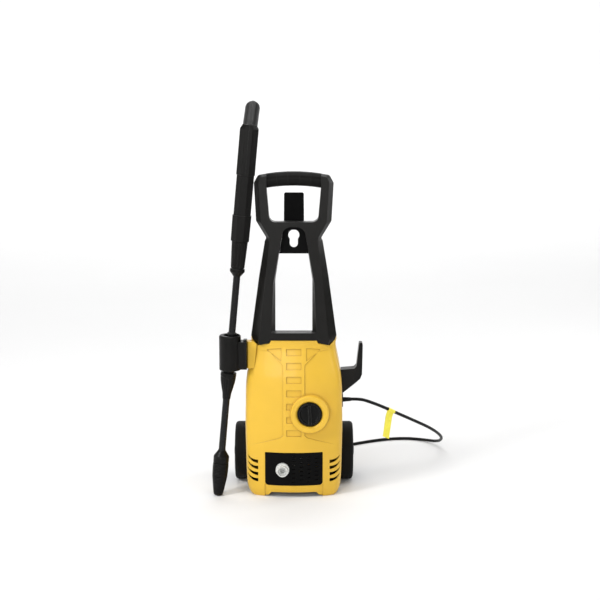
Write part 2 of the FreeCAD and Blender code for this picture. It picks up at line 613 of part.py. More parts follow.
def lance_holder():
    """Upright sleeve whose bore follows the leaning lance, on a bracket screwed to the casing's pad."""
    long = HOLDER_HIGH - HOLDER_LOW
    at = Vector(HOLDER_X, LANCE_Y, HOLDER_LOW)
    r = HOLDER_RADIUS
    sleeve = turned([(0, 0), (r - 1.2, 0), (r, 1.2), (r, long - 2.5), (r - 2.5, long), (0, long)], at, Z)
    low, high = 326.0, 391.0
    arm = block(HOLDER_X, BRACKET_X, LANCE_Y - 16, LANCE_Y + 16, low, high)
    web = block(HOLDER_X, BRACKET_X, LANCE_Y - 11, LANCE_Y + 11, low - 4, low)
    nub = block(BRACKET_X - 8, BRACKET_X, LANCE_Y - 9, LANCE_Y + 9, high, high + 4)
    flange = block(BRACKET_X - 4, BRACKET_X, LANCE_Y - 18, LANCE_Y + 25, low, high)
    solid = joined([sleeve, arm, web, nub, flange])
    bore = rod(HOLDER_BORE, Vector(TIP_X, LANCE_Y, TIP_Z), lance_axis(), 600)
    screws = [rod(2.3, Vector(BRACKET_X - 6, LANCE_Y + dy, z), X, 12) for dy, z in HOLDER_SCREWS]
    return solid.cut([bore] + screws)


def holder_screws():
    screws = []
    for dy, z in HOLDER_SCREWS:
        at = Vector(BRACKET_X, LANCE_Y + dy, z)
        profile = [(0, -6.4), (2.6, -6), (3.8, -4.2), (3.8, -4), (2.2, -4), (2.2, 9), (0, 9)]
        screws.append(turned(profile, at, X))
    return screws


def cord_hook():
    radii = [0, 2, 4, 3, 2.5, 2.5, 3, 3, 2, 2, 0]
    prism = front_prism(CORD_HOOK, -CORD_HOOK_HALF, CORD_HOOK_HALF, radii)
    taper = [(116, -CORD_HOOK_HALF - 1), (116, CORD_HOOK_HALF + 1), (150, CORD_HOOK_HALF + 1), (175, 9),
             (175, -9), (150, -CORD_HOOK_HALF - 1)]
    corners = [Vector(x, y, 200) for x, y in taper]
    plan = Part.Face(rounded_wire(corners, [0] * 6)).extrude(Vector(0, 0, 250))
    beyond_side = casing_form(-0.1)
    return prism.common(plan).cut(beyond_side)


# ---- switch ---------------------------------------------------------------------------------------
def switch_pieces():
    at = Vector(KNOB_X, 0, KNOB_Z)
    r, back = KNOB_RADIUS, WELL_FLOOR - 0.6
    profile = [(0, -104), (21, -104.4), (24, -107), (r - 2.5, -107), (r, -104.8), (r, back), (0, back)]
    disc = turned(profile, at, Y)
    ridge = front_prism([(-2.9, 23), (2.9, 23), (4, -24), (-4, -24)], -114, -103.5, [1.2] * 4)
    ridge.translate(Vector(KNOB_X, 0, KNOB_Z))
    ridge.rotate(at, Y, -3)
    knob = disc.fuse(ridge)
    knob = knob.fuse(rod(SHAFT_RADIUS, Vector(KNOB_X, back - 6, KNOB_Z), Y, 30))
    front, rear = WELL_BACK + 0.2, -58.0
    box = block(KNOB_X - 21, KNOB_X + 21, front, rear, KNOB_Z - 21, KNOB_Z + 21)
    box = box.cut(block(KNOB_X - 18, KNOB_X + 18, front + 12, rear - 3, KNOB_Z - 18, KNOB_Z + 18))
    box = box.cut(rod(SHAFT_RADIUS + RUNNING, Vector(KNOB_X, front - 1, KNOB_Z), Y, 14))
    return {"switch_knob": knob.removeSplitter(), "switch_box": box}


# ---- water inlet and outlet -----------------------------------------------------------------------
def inlet_pieces():
    at = Vector(INLET_X, 0, INLET_Z)
    face, bore = INLET_FACE, INLET_BORE
    neck = turned([(bore, face), (INLET_THREAD, face), (INLET_THREAD, -108), (12, -108), (12, -88), (5, -88),
                   (5, -101), (8.4, -101), (8.4, -112), (bore, -112)], at, Y)
    flange = ring(INLET_FLANGE, 11.5, Vector(INLET_X, -108, INLET_Z), Y, 14)
    body = joined([neck, flange.cut(casing_form(PANEL_DEPTH - 0.1))])
    strainer = turned([(6.4, -113.4), (bore - 0.3, -113.4), (bore - 0.3, -112), (8, -112), (6.6, -102),
                       (0, -102),
                       (0, -103.2), (5.4, -103.2)], at, Y)
    start = Vector(INLET_X, -88, INLET_Z)
    pipe = ring(9, 5, start, Y, 110).cut(rod(HEAD_RADIUS, Vector(MOTOR_X, MOTOR_Y, 0), Z, 400))
    pipe = pipe.common(block(-200, 200, -90, MOTOR_Y - 5, 0, 200))
    return {"water_inlet": body, "inlet_strainer": strainer, "suction_pipe": pipe}


def outlet_pieces():
    x, y, z = OUTLET_AT
    at = Vector(x, 0, z)
    nipple = turned([(4, y - 12), (9, y - 12), (9, y - 5), (OUTLET_HOLE - 0.3, y - 5), (OUTLET_HOLE - 0.3, y),
                     (OUTLET_HOLE + 4, y), (OUTLET_HOLE + 4, y + 4), (OUTLET_THREAD, y + 4),
                     (OUTLET_THREAD, y + 18), (4, y + 18)], at, Y)
    pipe = ring(8, 4, Vector(x, MOTOR_Y, z), Y, y - 12 - MOTOR_Y)
    pipe = pipe.cut(rod(HEAD_RADIUS, Vector(MOTOR_X, MOTOR_Y, 0), Z, 400))
    return {"pressure_outlet": nipple, "pressure_pipe": pipe}


# ---- motor and pump -------------------------------------------------------------------------------
def around_shaft(profile):
    return turned(profile, Vector(MOTOR_X, MOTOR_Y, 0), Z)


def motor_pieces():
    r, low, high = MOTOR_RADIUS, MOTOR_LOW, MOTOR_HIGH
    shaft = ROTOR_SHAFT
    seat = 13.0
    can = around_shaft([(r - 2, low), (r, low), (r, high), (r - 2, high)])
    stator = around_shaft([(ROTOR_RADIUS + 1, low + 30), (r - 2, low + 30), (r - 2, high - 30),
                           (ROTOR_RADIUS + 1, high - 30)])
    windings = around_shaft([(ROTOR_RADIUS + 4, low + 14), (r - 9, low + 14), (r - 9, low + 30),
                             (ROTOR_RADIUS + 4, low + 30)])
    upper = windings.copy()
    upper.translate(Vector(0, 0, high - low - 44))
    shields = around_shaft([(seat, low - 8), (r, low - 8), (r, low), (r - 2, low), (seat, low)])
    top_shield = around_shaft([(seat, high), (r, high), (r, high + 8), (seat, high + 8)])
    rotor = around_shaft([(shaft, low + 32), (ROTOR_RADIUS, low + 32), (ROTOR_RADIUS, high - 32),
                          (shaft, high - 32)])
    rotor_slots = []
    for i in range(12):
        angle = math.radians(30 * i)
        centre = Vector(MOTOR_X + math.cos(angle) * ROTOR_RADIUS, MOTOR_Y + math.sin(angle) * ROTOR_RADIUS, 0)
        rotor_slots.append(rod(1.5, centre, Z, 400))
    bearing = around_shaft([(shaft + RUNNING, low - 8), (seat, low - 8), (seat, low), (shaft + RUNNING, low)])
    bearing_top = bearing.copy()
    bearing_top.translate(Vector(0, 0, high - low + 8))
    spindle = around_shaft([(0, PISTON_TOP + 8), (shaft, PISTON_TOP + 8), (shaft, high + 40), (0, high + 40)])
    fan = around_shaft([(shaft, high + 14), (12, high + 14), (12, high + 30), (shaft, high + 30)])
    disc = around_shaft([(12, high + 14), (42, high + 14), (42, high + 16), (12, high + 16)])
    blades = []
    for i in range(9):
        blade = block(10, 42, -1, 1, high + 15, high + 30)
        blade.rotate(Vector(0, 0, 0), Z, 40 * i)
        blade.translate(Vector(MOTOR_X, MOTOR_Y, 0))
        blades.append(blade)
    capacitor = rod(14, Vector(MOTOR_X - r - 14 - SEAT, MOTOR_Y, low + 40), Z, 46)
    return {"motor_can": can, "stator": Part.Compound([stator, windings, upper]),
            "end_shields": Part.Compound([shields, top_shield]), "rotor": rotor.cut(rotor_slots).fuse(spindle),
            "motor_bearings": Part.Compound([bearing, bearing_top]),
            "cooling_fan": joined([fan, disc] + blades), "capacitor": capacitor}


def piston_places():
    places = []
    for i in range(PISTON_COUNT):
        angle = 2 * math.pi * i / PISTON_COUNT + math.pi / 2
        places.append(Vector(MOTOR_X + math.cos(angle) * PISTON_CIRCLE,
                             MOTOR_Y + math.sin(angle) * PISTON_CIRCLE, 0))
    return places


def pump_pieces():
    """Wobble-plate pump: a slanted disc on the motor's shaft presses the sprung pistons into the head."""
    top = MOTOR_LOW - 8
    bottom = HEAD_HIGH
    housing = around_shaft([(PUMP_RADIUS - 5, bottom), (PUMP_RADIUS, bottom), (PUMP_RADIUS, top),
                            (ROTOR_SHAFT + 8, top), (ROTOR_SHAFT + 8, top - 5), (PUMP_RADIUS - 5, top - 5)])
    plate = around_shaft([(ROTOR_SHAFT, PISTON_TOP + 8), (35, PISTON_TOP + 8), (35, PISTON_TOP + 19),
                          (12, PISTON_TOP + 19), (12, PISTON_TOP + 24), (ROTOR_SHAFT, PISTON_TOP + 24)])
    slant = block(-60, 60, -60, 60, -30, 0)
    slant.rotate(Vector(0, 0, 0), Y, 6)
    slant.translate(Vector(MOTOR_X, MOTOR_Y, PISTON_TOP + 11.5))
    plate = plate.cut(slant)
    head = rod(HEAD_RADIUS, Vector(MOTOR_X, MOTOR_Y, HEAD_LOW), Z, HEAD_HIGH - HEAD_LOW)
    flange = rod(PUMP_RADIUS, Vector(MOTOR_X, MOTOR_Y, HEAD_HIGH - 8), Z, 8)
    bores, pistons, springs = [], [], []
    for place in piston_places():
        bores.append(rod(PISTON_RADIUS + RUNNING, place + Z * (HEAD_LOW + 16), Z, 100))
        stem = rod(PISTON_RADIUS, place + Z * (HEAD_LOW + 22), Z, PISTON_TOP - HEAD_LOW - 22)
        crown = rod(PISTON_RADIUS + 4, place + Z * (PISTON_TOP - 4), Z, 4)
        pistons.append(stem.fuse(crown).removeSplitter())
        room = PISTON_TOP - 4 - HEAD_HIGH
        springs.append(coil_spring(place + Z * HEAD_HIGH, PISTON_RADIUS + 2.2, 1.0, room, 5))
    ports = [rod(4, Vector(INLET_X, MOTOR_Y - 60, INLET_Z), Y, 60), rod(4, OUTLET_AT - Y * 75, Y, 80)]
    head = joined([head, flange]).cut(bores + ports)
    return {"pump_housing": housing, "wobble_plate": plate, "pump_head": head, "pistons": Part.Compound(pistons),
            "piston_springs": Part.Compound(springs)}


def coil_spring(base, radius, wire, height, turns):
    """An upright spring standing on base with its wire inside the height given."""
    length = height - 2 * wire - 0.4
    helix = Part.makeHelix(length / turns, length, radius)
    disc = Part.Wire(Part.makeCircle(wire, Vector(radius, 0, 0), Vector(0, 1, length / turns / 6.3 / radius)))
    spring = Part.Wire(helix.Edges).makePipeShell([disc], True, True)
    spring.translate(base + Z * (wire + 0.2))
    return spring


# ---- gun and lance, drawn upright from the nozzle's tip -------------------------------------------
def gun_placed(shape):
    shape.rotate(Vector(0, 0, 0), Y, LANCE_LEAN)
    shape.translate(Vector(TIP_X, LANCE_Y, TIP_Z))
    return shape


def on_lance(profile):
    return turned(profile, Vector(0, 0, 0), Z)


NOZZLE_SPLIT, NOZZLE_TOP = 83.0, 116.0
CORE_RADIUS = 9.0
COUPLING_LOW, COUPLING_HIGH, COUPLING_RADIUS = 246.0, 313.0, 19.3
SOCKET_RADIUS, SOCKET_DEEP = 13.0, 36.0
COLLAR_LOW = 406.5
FLANGE_LOW, FLANGE_HIGH, FLANGE_RADIUS = 552.0, 570.0, 18.0
NOSE_LOW, NOSE_HIGH, NOSE_SMALL, NOSE_LARGE = 572.5, 637.5, 16.6, 19.6
BARREL_LOW, BARREL_STEP, BARREL_HIGH = 638.2, 700.0, 796.5
SHELL_LOW, SHELL_SHOULDER, SHELL_TOP = 797.0, 906.0, 916.0
GRIP_START, GRIP_ANGLE, GRIP_LONG = Vector(0, 0, 893), 60.0, 127.0
TRIGGER_PIVOT, TRIGGER_REST = Vector(0, 15, 872), 18.0
TRIGGER_LONG = 76.0
LOCK_HINGE, LOCK_PIN = (43, -7), 1.2
VALVE_PIN, PIN_LOW, PIN_HIGH = 2.0, 770.0, 863.0


def nozzle_pieces():
    radii = [(0, 11.0), (8, 12.6), (24, 15.0), (47, 18.2), (60, 18.9), (NOZZLE_SPLIT - 3, 19.2)]

    def radius(u):
        for (u0, r0), (u1, r1) in zip(radii, radii[1:]):
            if u <= u1:
                return r0 + (r1 - r0) * (u - u0) / (u1 - u0)
        return radii[-1][1]

    profile = [(7, 0), (radius(0) - 1, 0), (radius(0), 1)]
    u, pitch = 7.0, 4.0
    while u + pitch < NOZZLE_SPLIT - 3:
        near_groove = abs(u + pitch / 2 - 48) < 2.5
        profile += [(radius(u) + 0.4, u), (radius(u + 1.4) + 0.4, u + 1.4)]
        depth = 2.2 if near_groove else 1.2
        profile += [(radius(u + 2) - depth, u + 2), (radius(u + 3.4) - depth, u + 3.4)]
        u += pitch
    inner = CORE_RADIUS + RUNNING
    profile += [(radius(u), u), (19.2, NOZZLE_SPLIT - 1.5), (18, NOZZLE_SPLIT), (inner, NOZZLE_SPLIT),
                (inner, 11), (7, 11)]
    sleeve = on_lance(profile)
    top = NOZZLE_TOP
    body = on_lance([(1.5, 12), (CORE_RADIUS, 12), (CORE_RADIUS, NOZZLE_SPLIT + 0.8), (18, NOZZLE_SPLIT + 0.8),
                     (19.2, NOZZLE_SPLIT + 2), (19.2, NOZZLE_SPLIT + 15.5), (18, NOZZLE_SPLIT + 18.5),
                     (9.6, top - 2), (9, top), (TUBE_RADIUS, top), (TUBE_RADIUS, top - 22), (1.5, top - 22)])
    jet = on_lance([(1, 5), (3, 5), (6, 7), (6, 12), (1, 12)])
    return {"nozzle_sleeve": sleeve, "nozzle_body": body.fuse(jet)}


def lance_pieces():
    r, bore = TUBE_RADIUS, TUBE_BORE
    low, high, big = COUPLING_LOW, COUPLING_HIGH, COUPLING_RADIUS
    lower = on_lance([(bore, NOZZLE_TOP - 22), (r, NOZZLE_TOP - 22), (r, low + 16), (bore, low + 16)])
    coupling = on_lance([(r, low), (r + 1, low), (r + 1.8, low + 5), (11.2, low + 15), (14.7, low + 29),
                         (18.2, low + 46), (big - 0.4, low + 55), (big - 1.2, low + 56), (big - 1.2, low + 57),
                         (big, low + 58), (big, high - 1), (big - 1, high), (SOCKET_RADIUS, high),
                         (SOCKET_RADIUS, low + SOCKET_DEEP), (bore, low + SOCKET_DEEP), (bore, low + 16),
                         (r, low + 16)])
    slope = math.degrees(math.atan2(big - 0.4 - r - 1.4, high - 16 - low))
    grooves = []
    for i in range(8):
        groove = rod(3.2, Vector(r + 3.4, 0, low + 2), Z, high - low - 16)
        groove.rotate(Vector(r + 3.4, 0, low + 2), Y, slope)
        groove.rotate(Vector(0, 0, 0), Z, 45 * i)
        grooves.append(groove)
    socket = on_lance([(bore, low + SOCKET_DEEP), (SOCKET_RADIUS, low + SOCKET_DEEP),
                       (SOCKET_RADIUS, high + 12), (GUIDE_RADIUS - 1, high + 12), (GUIDE_RADIUS, high + 13), (GUIDE_RADIUS, high + 38),
                       (GUIDE_RADIUS - 3, high + 41), (r + 2, high + 50), (r, high + 50), (r, high + 20),
                       (bore, high + 20)])
    upper = on_lance([(bore, high + 20), (r, high + 20), (r, COLLAR_LOW), (11.5, COLLAR_LOW + 0.8),
                      (11.5, COLLAR_LOW + 5), (r, COLLAR_LOW + 7), (r, NOSE_HIGH - 8), (bore, NOSE_HIGH - 8)])
    flange = on_lance([(r, FLANGE_LOW), (r + 1, FLANGE_LOW), (FLANGE_RADIUS - 0.5, FLANGE_HIGH - 7.5),
                       (FLANGE_RADIUS, FLANGE_HIGH - 6.5), (FLANGE_RADIUS, FLANGE_HIGH - 1),
                       (FLANGE_RADIUS - 1, FLANGE_HIGH), (r, FLANGE_HIGH)])
    nose = on_lance([(r, FLANGE_HIGH), (NOSE_SMALL - 2, FLANGE_HIGH), (NOSE_SMALL - 2, NOSE_LOW),
                     (NOSE_SMALL, NOSE_LOW), (NOSE_LARGE, NOSE_HIGH - 1), (NOSE_LARGE - 1, NOSE_HIGH),
                     (12.5, NOSE_HIGH), (12.5, NOSE_HIGH - 8), (r, NOSE_HIGH - 8)])
    flutes = []
    lean = math.degrees(math.atan2(NOSE_LARGE - NOSE_SMALL, NOSE_HIGH - NOSE_LOW))
    for i in range(14):
        flute = rod(1.5, Vector(NOSE_SMALL + 0.7, 0, NOSE_LOW + 4), Z, NOSE_HIGH - NOSE_LOW - 10)
        flute.rotate(Vector(NOSE_SMALL + 0.7, 0, NOSE_LOW + 4), Y, lean)
        flute.rotate(Vector(0, 0, 0), Z, 360 / 14 * i)
        flutes.append(flute)
    return {"lance_tube_lower": lower, "lance_coupling": coupling.cut(grooves), "lance_socket": socket,
            "lance_tube_upper": upper, "lance_nut": nose.cut(flutes).fuse(flange)}


def octagon(u, half_x, half_y, inset=0.0, shift=0.0):
    """A section with eight sides and softened corners, square to the lance, at distance u along it."""
    a, b = half_x - inset, half_y - inset
    flat_x, flat_y = a * 0.42, b * 0.42
    points = [(a, flat_y), (flat_x, b), (-flat_x, b), (-a, flat_y), (-a, -flat_y), (-flat_x, -b), (flat_x, -b),
              (a, -flat_y)]
    return rounded_wire([Vector(x, y + shift, u) for x, y in points], [4] * 8)


def oval(u, half_x, half_y):
    """An oval section square to the lance, wider across than from front to back."""
    return Part.Wire(Part.Ellipse(Vector(0, 0, u), half_x, half_y).toShape())


def stacked(levels, inset):
    """Eight-sided sections joined one above the other."""
    wires = [octagon(u, hx, hy, inset) for u, hx, hy in levels]
    return Part.makeLoft(wires, True, True)


def grip_form(inset):
    """The pistol grip, slanting up and back from the top of the gun's body."""
    sections = [(-6, 15, 13.5), (6, 17.8, 17), (GRIP_LONG - 12, 18, 17.4)]
    if not inset:
        sections += [(GRIP_LONG - 6, 17.2, 16.6), (GRIP_LONG - 2.5, 15.5, 15), (GRIP_LONG, 12.6, 12.3)]
    wires = [oval(s, hx - inset, hy - inset) for s, hx, hy in sections]
    form = Part.makeLoft(wires, True, True)
    form.rotate(Vector(0, 0, 0), X, -GRIP_ANGLE)
    form.translate(GRIP_START)
    return form


def trigger_turned(points):
    """Outline points along and across the trigger lever, put where the lever lies at rest."""
    c, s = math.cos(math.radians(TRIGGER_REST)), math.sin(math.radians(TRIGGER_REST))
    at = TRIGGER_PIVOT
    return [(at.y + a * c - b * s, at.z + a * s + b * c) for a, b in points]


def gun_pieces():
    wall = GUN_WALL
    barrel_levels = ((BARREL_LOW, 21.8, 21.8), (BARREL_STEP, 22.6, 22.6))
    barrel_upper = ((BARREL_STEP, 20.6, 20.8), (BARREL_HIGH, 20.6, 20.8))
    barrel = joined([stacked(barrel_levels, 0), stacked(barrel_upper, 0)])
    inside = joined([stacked(((BARREL_LOW - 1, 21.8, 21.8), (BARREL_STEP - wall, 22.6, 22.6)), wall),
                     stacked(((BARREL_STEP - wall - 1, 20.6, 20.8), (BARREL_HIGH + 1, 20.6, 20.8)), wall)])
    screw_at = Vector(-23, 0, BARREL_LOW + 40)
    barrel = barrel.cut([inside, rod(2.8, screw_at - X * 5, X, 7.5), rod(1.55, screw_at - X * 5, X, 10)])
    body_levels = ((SHELL_LOW, 22.2, 22), (SHELL_SHOULDER, 22.2, 22), (SHELL_TOP, 17, 16.5))
    hollow_levels = ((SHELL_LOW + wall, 22.2, 22), (SHELL_SHOULDER, 22.2, 22), (SHELL_TOP - wall, 17.8, 17.4))
    guard = [(100, 940), (108, 937), (117, 922), (104, 868), (80, 838), (18, 812), (18, 822), (74, 848),
             (96, 876), (106, 920), (98, 930)]
    guard = side_prism(guard, -7, 7, [0, 6, 8, 14, 20, 0, 0, 14, 10, 8, 0])
    outer = joined([stacked(body_levels, 0), grip_form(0), guard])
    hollow = stacked(hollow_levels, wall).fuse(grip_form(wall))
    slot = block(-6.4, 6.4, 6, 60, 858, 905).cut(grip_form(0).common(block(-20, 20, 40, 200, 800, 1000)))
    passage = rod(11.2, Vector(0, 0, SHELL_LOW - 1), Z, wall + 2)
    shell = outer.cut([hollow, slot, passage])
    nipple_base = GRIP_START + grip_axis() * (GRIP_LONG - 6)
    shell = shell.cut(rod(10.2, nipple_base - grip_axis() * 6, grip_axis(), 20))
    left = shell.common(block(-60, 0, -60, 200, 780, 1000))
    right = shell.common(block(0, 60, -60, 200, 780, 1000))
    pivot = TRIGGER_PIVOT
    inner = stacked(hollow_levels, wall - 0.5)
    boss = rod(5, Vector(6, pivot.y, pivot.z), X, 18).common(inner)
    left = left.fuse([mirror_x(boss), rod(2.5, Vector(-12, pivot.y, pivot.z), X, 24)])
    right = right.fuse(boss).cut(rod(2.6, Vector(0, pivot.y, pivot.z), X, 13))
    lever = side_prism(trigger_turned([(-20, -2), (-20, 4), (-4, 7), (8, 5.5), (30, 4.5), (TRIGGER_LONG, 4.5),
                                       (TRIGGER_LONG + 2, -3), (50, -4.5), (24, -6), (6, -7), (-8, -7)]), -5.5, 5.5,
                       [1, 2, 4, 3, 6, 2, 3, 20, 10, 4, 3])
    (hinge_y, hinge_z), = trigger_turned([LOCK_HINGE])
    ear_outline = trigger_turned([(39.5, -3), (46.5, -3), (45.3, -9), (40.7, -9)])
    ear = side_prism(ear_outline, 3.8, 5.5, [0, 0, 1.5, 1.5])
    lever = joined([lever, ear, mirror_x(ear)])
    lever = lever.cut([rod(2.5 + RUNNING, Vector(-20, pivot.y, pivot.z), X, 40),
                       rod(LOCK_PIN + RUNNING, Vector(-20, hinge_y, hinge_z), X, 40)])
    lock_outline = [(41.2, -8.8), (41.2, -5.2), (64, -5.4), (66, -8.6), (56, -9.4)]
    lock = side_prism(trigger_turned(lock_outline), -3.5, 3.5, [1.6, 1.6, 1, 1, 2])
    lock = lock.fuse(rod(LOCK_PIN, Vector(-5.5, hinge_y, hinge_z), X, 11)).removeSplitter()
    bore = VALVE_PIN + RUNNING
    valve = on_lance([(bore, BARREL_LOW + 60), (3, BARREL_LOW + 20), (3, NOSE_HIGH - 8), (12.5, NOSE_HIGH - 8),
                      (12.5, BARREL_LOW + 5), (18.9, BARREL_LOW + 5), (18.9, BARREL_LOW + 8),
                      (12.5, BARREL_LOW + 8), (12.5, BARREL_LOW + 20), (11, BARREL_LOW + 20), (11, 830), (6.6, 830), (6.6, 815),
                      (bore, 815)])
    push = on_lance([(0, PIN_LOW), (VALVE_PIN, PIN_LOW), (VALVE_PIN, PIN_HIGH - 0.5), (VALVE_PIN - 0.5, PIN_HIGH),
                     (0, PIN_HIGH)])
    nipple = turned([(4, -14), (12, -14), (12, -12.3), (10, -12.3), (10, 0.3), (12.2, 0.3), (12.2, 2.4), (8.6, 2.4),
                     (8.6, 9), (7.8, 10), (4, 10)], GRIP_START + grip_axis() * GRIP_LONG, grip_axis())
    screw = turned([(0, -6.5), (2.7, -6.5), (2.7, -4.5), (1.5, -4.5), (1.5, 4), (0, 4)], screw_at + X * 7, X)
    return {"gun_barrel_cover": barrel, "gun_shell_left": left, "gun_shell_right": right, "trigger": lever,
            "trigger_lock": lock, "valve_body": valve.cut(screw), "valve_pin": push, "hose_nipple": nipple,
            "gun_screw": screw}


def grip_axis():
    lean = math.radians(GRIP_ANGLE)
    return Vector(0, math.sin(lean), math.cos(lean))


# ---- mains cord -----------------------------------------------------------------------------------
def cord_pieces():
    """Strain relief, the laid cord, the coil of the rest of it, the plug and the tag."""
    along = unit(CORD_ROUTE[1] - CORD_ROUTE[0])
    profile = [(0, -4), (7, -4), (7, 3)]
    for i in range(5):
        r, s = 6.2 - 0.24 * i, 5.0 + 3.6 * i
        profile += [(r, s), (r - 1, s), (r - 1, s + 1.4), (r - 0.3, s + 1.4)]
    profile += [(4.8, RELIEF_LENGTH), (0, RELIEF_LENGTH)]
    y, z = CORD_EXIT.y, CORD_EXIT.z
    plate = side_prism([(y - 11, z - 17), (y + 11, z - 17), (y + 11, z + 17), (y - 11, z + 17)], 119.5, 122.5,
                       [4] * 4)
    relief = joined([turned(profile, CORD_EXIT, along), plate])
    coil_low = 0.2
    outer = COIL_MID + COIL_TURNS_WIDE * CORD_RADIUS
    inner = COIL_MID - COIL_TURNS_WIDE * CORD_RADIUS
    high = coil_low + COIL_HEIGHT
    coil = turned([(inner, coil_low + 3), (inner + 3, coil_low), (outer - 3, coil_low), (outer, coil_low + 3),
                   (outer, high - 3), (outer - 3, high), (inner + 3, high), (inner, high - 3)],
                  Vector(COIL_X, COIL_Y, 0), Z)
    tube = cord_along(CORD_ROUTE).cut(coil)
    plug = turned([(0, 0), (5, 0), (5.4, 14), (9, 26), (14, 34), (18.5, 40), (18.5, 52), (17, 53), (0, 53)],
                  Vector(COIL_X, PLUG_Y, high + 18.4), X)
    pins = []
    for dy in (-9.5, 9.5):
        pins.append(rod(2.4, Vector(COIL_X + 52, PLUG_Y + dy, high + 18.4), X, 19))
    plug = joined([plug] + pins).cut(coil)
    start, end = CORD_ROUTE[TAG_RUN], CORD_ROUTE[TAG_RUN + 1]
    run, middle = unit(end - start), (start + end) * 0.5
    loop = rod(CORD_RADIUS + TAG_LOOSE + TAG_THICK, middle - run * (TAG_WIDTH / 2), run, TAG_WIDTH)
    down = unit(run.cross(Z).cross(run)) * -1
    across = unit(run.cross(down))
    hang = unit(down * 0.4 - Z * 0.6)
    base = middle - run * (TAG_WIDTH / 2) - across * (TAG_THICK / 2)
    corners = [base, base + run * TAG_WIDTH, base + run * TAG_WIDTH + down * 16]
    tail = hang * (TAG_LENGTH - 16)
    corners += [corners[2] + tail, base + down * 16 + tail, base + down * 16]
    flag = Part.Face(Part.makePolygon(corners + corners[:1])).extrude(across * TAG_THICK)
    tag = loop.fuse(flag).cut(rod(CORD_RADIUS + TAG_LOOSE, middle - run * 40, run, 80))
    return {"strain_relief": relief, "cord_tube": tube, "cord_coil": coil, "plug": plug, "cord_tag": tag}


def cord_along(points):
    """A round cord of straight runs joined by arcs that touch them."""
    stops = [(points[0], None, points[0])]
    for before, at, after in zip(points, points[1:], points[2:]):
        half_turn = (math.pi - (before - at).getAngle(after - at)) / 2
        shorter = min((before - at).Length, (after - at).Length)
        radius = 0.45 * shorter / math.tan(half_turn)
        print("cord arc radius", round(radius, 1))
        stops.append(corner(before, at, after, radius))
    stops.append((points[-1], None, points[-1]))
    edges = []
    for (start, middle, end), following in zip(stops, stops[1:]):
        if middle is not None:
            edges.append(Part.Arc(start, middle, end).toShape())
        edges.append(Part.LineSegment(end, following[0]).toShape())
    path = Part.Wire(edges)
    first = unit(points[1] - points[0])
    section = Part.Wire(Part.makeCircle(CORD_RADIUS, points[0], first))
    print("cord laid out", round(path.Length, 1))
    return path.makePipeShell([section], True, False)


# ---- everything -----------------------------------------------------------------------------------
CORD_PIECES = ("strain_relief", "cord_tube", "cord_coil", "plug", "cord_tag")


def all_pieces():
    pieces = {}
    pieces.update(casings())
    pieces["lower_panel"] = lower_panel()
    pieces["base_tray"] = base_tray()
    pieces.update(axle_pieces())
    for name, shape in wheels().items():
        pieces[name + "_right"] = shape
        pieces[name + "_left"] = mirror_x(shape)
    pieces.update(handle())
    pieces["keyhole_plate"] = keyhole_plate()
    pieces["hose_hook"] = hose_hook()
    pieces["lance_holder"] = lance_holder()
    pieces["cord_hook"] = cord_hook()
    pieces["screws"] = screws()
    pieces.update(switch_pieces())
    pieces.update(inlet_pieces())
    pieces.update(outlet_pieces())
    pieces.update(motor_pieces())
    pieces.update(pump_pieces())
    for group in (nozzle_pieces(), lance_pieces(), gun_pieces()):
        for name, shape in group.items():
            pieces[name] = gun_placed(shape)
    pieces.update(cord_pieces())
    return pieces


def origin_shift(pieces):
    """Moves the middle of the footprint to the origin and the lowest point to the floor."""
    box = FreeCAD.BoundBox()
    for name, shape in pieces.items():
        if name not in CORD_PIECES:
            box.add(shape.BoundBox)
    return Vector(-(box.XMin + box.XMax) / 2, -(box.YMin + box.YMax) / 2, -box.ZMin)


def main():
    os.makedirs("parts", exist_ok=True)
    pieces = all_pieces()
    shift = origin_shift(pieces)
    print("moved by", round(shift.x, 3), round(shift.y, 3), round(shift.z, 3))
    for name, shape in sorted(pieces.items()):
        moved = shape.copy()
        moved.translate(shift)
        moved.exportStep("parts/" + name + ".step")
        size = moved.BoundBox
        print(name, len(moved.Solids), moved.isValid(), round(moved.Volume, 1),
              [round(v, 1) for v in (size.XMin, size.XMax, size.YMin, size.YMax, size.ZMin, size.ZMax)])


if __name__ == "__main__":
    main()
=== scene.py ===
"""Looks of the upright pressure washer: materials, mains cord, light and camera."""
import math

import bpy
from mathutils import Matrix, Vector


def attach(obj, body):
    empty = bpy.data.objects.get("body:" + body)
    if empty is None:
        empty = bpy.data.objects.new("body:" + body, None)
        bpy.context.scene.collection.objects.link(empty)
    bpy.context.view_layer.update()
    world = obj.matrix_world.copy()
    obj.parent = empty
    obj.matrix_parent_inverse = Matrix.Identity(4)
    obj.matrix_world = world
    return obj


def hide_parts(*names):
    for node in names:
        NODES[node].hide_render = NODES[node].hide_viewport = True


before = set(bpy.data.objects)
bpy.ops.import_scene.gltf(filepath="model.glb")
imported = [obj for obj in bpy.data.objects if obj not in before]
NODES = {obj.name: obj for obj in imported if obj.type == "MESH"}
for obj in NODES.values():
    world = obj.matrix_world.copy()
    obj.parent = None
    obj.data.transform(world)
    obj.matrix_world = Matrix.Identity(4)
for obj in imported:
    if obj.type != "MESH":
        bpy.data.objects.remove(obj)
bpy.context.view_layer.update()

MIDDLE = Vector((0.015692, -0.01, 0.0))        # where the machine's centre plane meets the floor


def at(x, y, z):
    """A point given in millimetres from the machine's centre plane and the floor."""
    return MIDDLE + Vector((x, y, z)) / 1000


